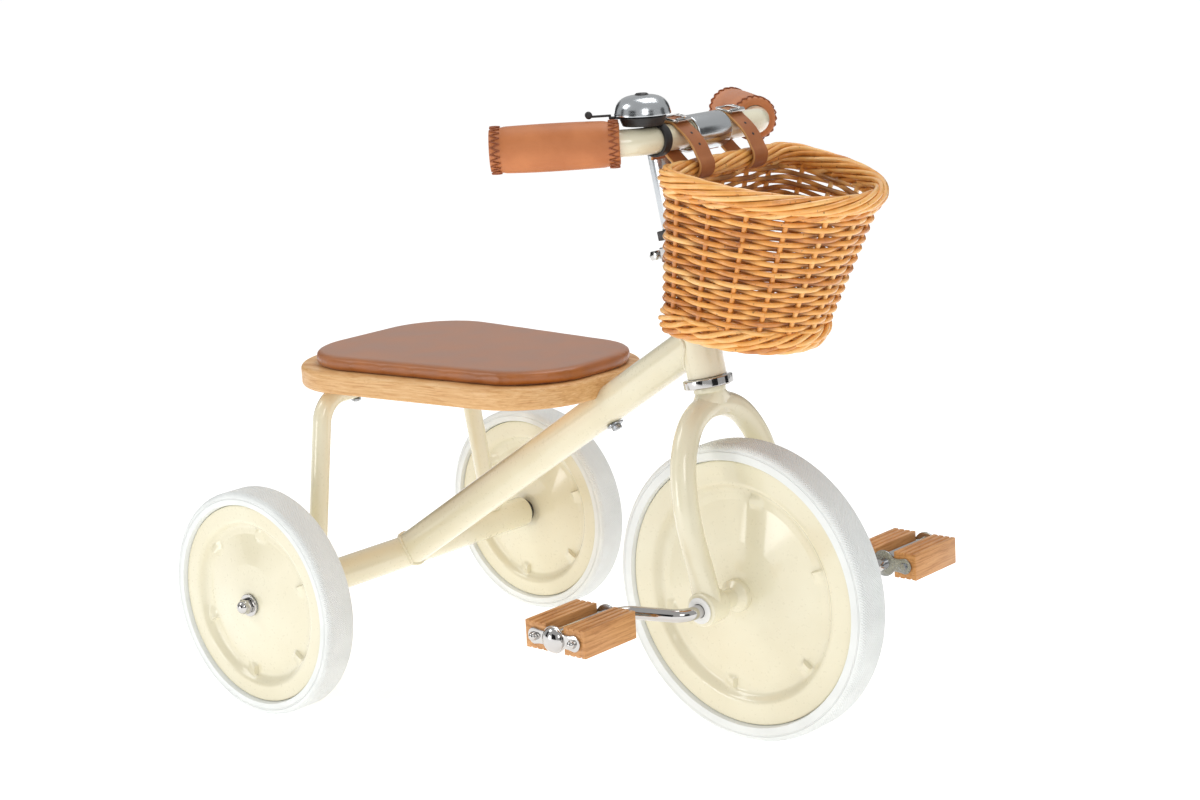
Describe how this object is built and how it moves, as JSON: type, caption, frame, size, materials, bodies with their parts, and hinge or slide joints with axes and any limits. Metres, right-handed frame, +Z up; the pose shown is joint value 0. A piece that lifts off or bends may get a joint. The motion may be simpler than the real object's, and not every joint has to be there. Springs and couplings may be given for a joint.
{
  "type": "children's tricycle",
  "caption": "Child's pedal tricycle with a tube frame, padded wooden seat, wicker handlebar basket and bell; it steers, rolls and pedals.",
  "frame": {"origin": "on the ground under the middle of the whole tricycle's box", "axes": "+X forward, +Y to the rider's left, +Z up"},
  "size_m": [0.7582, 0.4956, 0.6438],
  "materials": {
    "cream_paint": "gloss powder coat",
    "chrome": "polished",
    "steel": "satin zinc",
    "tyre": "matt white",
    "beech": "clear lacquer",
    "pedal_beech": "oiled",
    "tan_leather": "smooth, slight sheen",
    "strap_leather": "smooth with lighter cut edges",
    "wicker": "varnished willow",
    "black_plastic": "satin",
    "white_nylon": "satin"
  },
  "bodies": {
    "frame": {"main_tube": "cream_paint", "axle_tube": "cream_paint", "head_tube": "cream_paint", "seat_hoop": "cream_paint", "seat_board": "beech", "seat_cushion": "tan_leather", "seat_screw_left": "steel", "seat_screw_right": "steel", "seat_bolt": "steel", "rear_axle": "steel", "axle_bush_left": "black_plastic", "axle_bush_right": "black_plastic", "axle_washer_left": "chrome", "axle_washer_right": "chrome", "axle_nut_left": "chrome", "axle_nut_right": "chrome", "headset_cup": "chrome", "headset_collar": "chrome"},
    "front_wheel": {"front_tyre": "tyre", "front_disc_left": "cream_paint", "front_disc_right": "cream_paint", "front_hub": "cream_paint", "crank": "chrome"},
    "pedal_left": {"pedal_block_front_left": "pedal_beech", "pedal_block_rear_left": "pedal_beech", "pedal_sleeve_left": "chrome", "pedal_end_plate_left": "chrome", "pedal_inner_plate_left": "steel"},
    "pedal_right": {"pedal_block_front_right": "pedal_beech", "pedal_block_rear_right": "pedal_beech", "pedal_sleeve_right": "chrome", "pedal_end_plate_right": "chrome", "pedal_inner_plate_right": "steel"},
    "rear_wheel_left": {"rear_tyre_left": "tyre", "rear_disc_outer_left": "cream_paint", "rear_disc_inner_left": "cream_paint", "rear_hub_left": "steel"},
    "rear_wheel_right": {"rear_tyre_right": "tyre", "rear_disc_outer_right": "cream_paint", "rear_disc_inner_right": "cream_paint", "rear_hub_right": "steel"},
    "thumb_lever": {"bell_lever": "black_plastic"},
    "steering": {"fork": "cream_paint", "fork_bush_left": "white_nylon", "fork_bush_right": "white_nylon", "crown_race": "cream_paint", "locknut": "black_plastic", "stem": "chrome", "stem_bolt": "steel", "handlebar": "cream_paint", "grip_left": "tan_leather", "grip_right": "tan_leather", "bell_base": "black_plastic", "bell_dome": "chrome", "bell_cap": "black_plastic", "basket": "wicker", "strap_left": "strap_leather", "buckle_left": "steel", "strap_right": "strap_leather", "buckle_right": "steel"}
  },
  "joints": [
    {"name": "steer", "type": "hinge", "parent": "frame", "child": "steering", "pos_m": [0.22086, 0, 0.15], "axis": [-0.1874, 0, 0.9823], "range_deg": [-45, 45]},
    {"name": "front_wheel_spin", "type": "hinge", "parent": "steering", "child": "front_wheel", "pos_m": [0.22086, 0, 0.15], "axis": [0, 1, 0], "continuous": true},
    {"name": "pedal_left_spin", "type": "hinge", "parent": "front_wheel", "child": "pedal_left", "pos_m": [0.28386, 0.178, 0.15], "axis": [0, 1, 0], "continuous": true},
    {"name": "pedal_right_spin", "type": "hinge", "parent": "front_wheel", "child": "pedal_right", "pos_m": [0.15786, -0.178, 0.15], "axis": [0, 1, 0], "continuous": true},
    {"name": "rear_wheel_left_spin", "type": "hinge", "parent": "frame", "child": "rear_wheel_left", "pos_m": [-0.25914, 0.213, 0.12], "axis": [0, 1, 0], "continuous": true},
    {"name": "rear_wheel_right_spin", "type": "hinge", "parent": "frame", "child": "rear_wheel_right", "pos_m": [-0.25914, -0.213, 0.12], "axis": [0, 1, 0], "continuous": true},
    {"name": "bell_press", "type": "hinge", "parent": "steering", "child": "thumb_lever", "pos_m": [0.16857, -0.095, 0.62141], "axis": [0, 0, 1], "range_deg": [0, 22], "stiffness_Nm_per_rad": 0.03}
  ]
}
